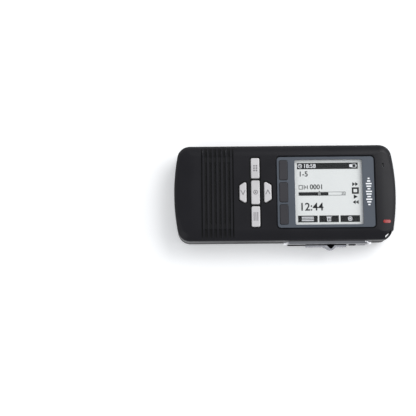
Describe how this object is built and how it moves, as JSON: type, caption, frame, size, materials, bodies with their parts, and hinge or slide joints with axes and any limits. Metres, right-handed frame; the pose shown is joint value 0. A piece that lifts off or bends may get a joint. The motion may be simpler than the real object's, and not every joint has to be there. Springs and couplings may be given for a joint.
{
  "type": "portable voice recorder",
  "caption": "Slim hand-held recorder with a front display, soft keys, silver navigation keys, ribbed speaker grille and a thumb slide switch in a chrome side rail.",
  "frame": {"origin": "centre of the flat rear face that the recorder rests on when it lies on its back", "axes": "+X towards the microphone end, +Z out of the display, -Y the side with the slide switch"},
  "size_m": [0.122, 0.0589, 0.0187],
  "materials": {
    "case": "fine satin charcoal paint",
    "case_rear": "fine texture, charcoal",
    "bezel": "satin blue-grey",
    "clear": "clear, gloss",
    "display": "pale grey liquid crystal panel",
    "silver_key": "satin silver paint",
    "dark_key": "satin dark grey",
    "grille": "satin dark grey ribs",
    "chrome": "polished",
    "switch_metal": "satin, toothed",
    "bar": "satin charcoal paint",
    "steel": "plain",
    "tin_plate": "dull tin",
    "gold": "gold plated",
    "cell_wrap": "plain shrink wrap",
    "white_plastic": "moulded",
    "black_plastic": "moulded",
    "amber_film": "flexible film",
    "rubber": "moulded rubber",
    "circuit_board": "solder mask",
    "chip": "moulded resin",
    "red_lens": "translucent red",
    "cone": "thin film",
    "card_plastic": "moulded, no label"
  },
  "bodies": {
    "case": {"battery_cell_left": "cell_wrap", "battery_cell_right": "cell_wrap", "battery_contacts": "steel", "battery_springs": "steel", "board_chips": "chip", "card_socket": "tin_plate", "detent_spring": "steel", "display_backlight": "white_plastic", "display_bezel": "bezel", "display_carrier": "white_plastic", "display_flex": "amber_film", "display_glass": "display", "display_window": "clear", "dock_contacts": "gold", "front_housing": "case", "headset_jack": "black_plastic", "hold_switch_body": "black_plastic", "housing_screws": "steel", "key_domes": "steel", "keypad_mat": "rubber", "lanyard_bar": "bar", "led_light_pipe": "red_lens", "main_board": "circuit_board", "microphone_boot": "rubber", "microphone_capsule": "tin_plate", "microphone_jack": "black_plastic", "processor_shield": "tin_plate", "rail_lens": "clear", "rear_housing": "case_rear", "record_tact_switch": "black_plastic", "side_rail_frame": "chrome", "slide_sensor": "black_plastic", "speaker_basket": "black_plastic", "speaker_cone": "cone", "speaker_gasket": "rubber", "speaker_grille": "grille", "speaker_magnet": "tin_plate", "status_led": "white_plastic", "usb_socket": "steel"},
    "key_down": {"key_down": "silver_key"},
    "key_index": {"key_index": "silver_key"},
    "key_menu": {"key_menu": "silver_key"},
    "key_ok": {"key_ok": "silver_key"},
    "key_up": {"key_up": "silver_key"},
    "soft_key_centre": {"soft_key_centre": "dark_key"},
    "soft_key_left": {"soft_key_left": "dark_key"},
    "soft_key_right": {"soft_key_right": "dark_key"},
    "slide_switch": {"slide_switch": "switch_metal", "slide_carriage": "black_plastic"},
    "record_button": {"record_button": "dark_key"},
    "hold_switch": {"hold_switch_knob": "silver_key"},
    "battery_door": {"battery_door": "case_rear"},
    "memory_card": {"memory_card": "card_plastic"}
  },
  "joints": [
    {"name": "key_down_press", "type": "slide", "parent": "case", "child": "key_down", "axis": [0, 0, -1], "range_m": [0, 0.0005], "stiffness_N_per_m": 2500, "springref_m": -0.0003},
    {"name": "key_index_press", "type": "slide", "parent": "case", "child": "key_index", "axis": [0, 0, -1], "range_m": [0, 0.0005], "stiffness_N_per_m": 2500, "springref_m": -0.0003},
    {"name": "key_menu_press", "type": "slide", "parent": "case", "child": "key_menu", "axis": [0, 0, -1], "range_m": [0, 0.0005], "stiffness_N_per_m": 2500, "springref_m": -0.0003},
    {"name": "key_ok_press", "type": "slide", "parent": "case", "child": "key_ok", "axis": [0, 0, -1], "range_m": [0, 0.0005], "stiffness_N_per_m": 2500, "springref_m": -0.0003},
    {"name": "key_up_press", "type": "slide", "parent": "case", "child": "key_up", "axis": [0, 0, -1], "range_m": [0, 0.0005], "stiffness_N_per_m": 2500, "springref_m": -0.0003},
    {"name": "soft_key_centre_press", "type": "slide", "parent": "case", "child": "soft_key_centre", "axis": [0, 0, -1], "range_m": [0, 0.0005], "stiffness_N_per_m": 2500, "springref_m": -0.0003},
    {"name": "soft_key_left_press", "type": "slide", "parent": "case", "child": "soft_key_left", "axis": [0, 0, -1], "range_m": [0, 0.0005], "stiffness_N_per_m": 2500, "springref_m": -0.0003},
    {"name": "soft_key_right_press", "type": "slide", "parent": "case", "child": "soft_key_right", "axis": [0, 0, -1], "range_m": [0, 0.0005], "stiffness_N_per_m": 2500, "springref_m": -0.0003},
    {"name": "record_press", "type": "slide", "parent": "case", "child": "record_button", "axis": [0, 1, 0], "range_m": [0, 0.0005], "stiffness_N_per_m": 2500, "springref_m": -0.0003},
    {"name": "slide_switch_travel", "type": "slide", "parent": "case", "child": "slide_switch", "axis": [1, 0, 0], "range_m": [-0.0096, 0]},
    {"name": "hold_switch_travel", "type": "slide", "parent": "case", "child": "hold_switch", "axis": [1, 0, 0], "range_m": [-0.004, 0]},
    {"name": "battery_door_slide", "type": "slide", "parent": "case", "child": "battery_door", "axis": [-1, 0, 0], "range_m": [0, 0.06]},
    {"name": "memory_card_slide", "type": "slide", "parent": "case", "child": "memory_card", "axis": [0, 1, 0], "range_m": [0, 0.034]}
  ]
}
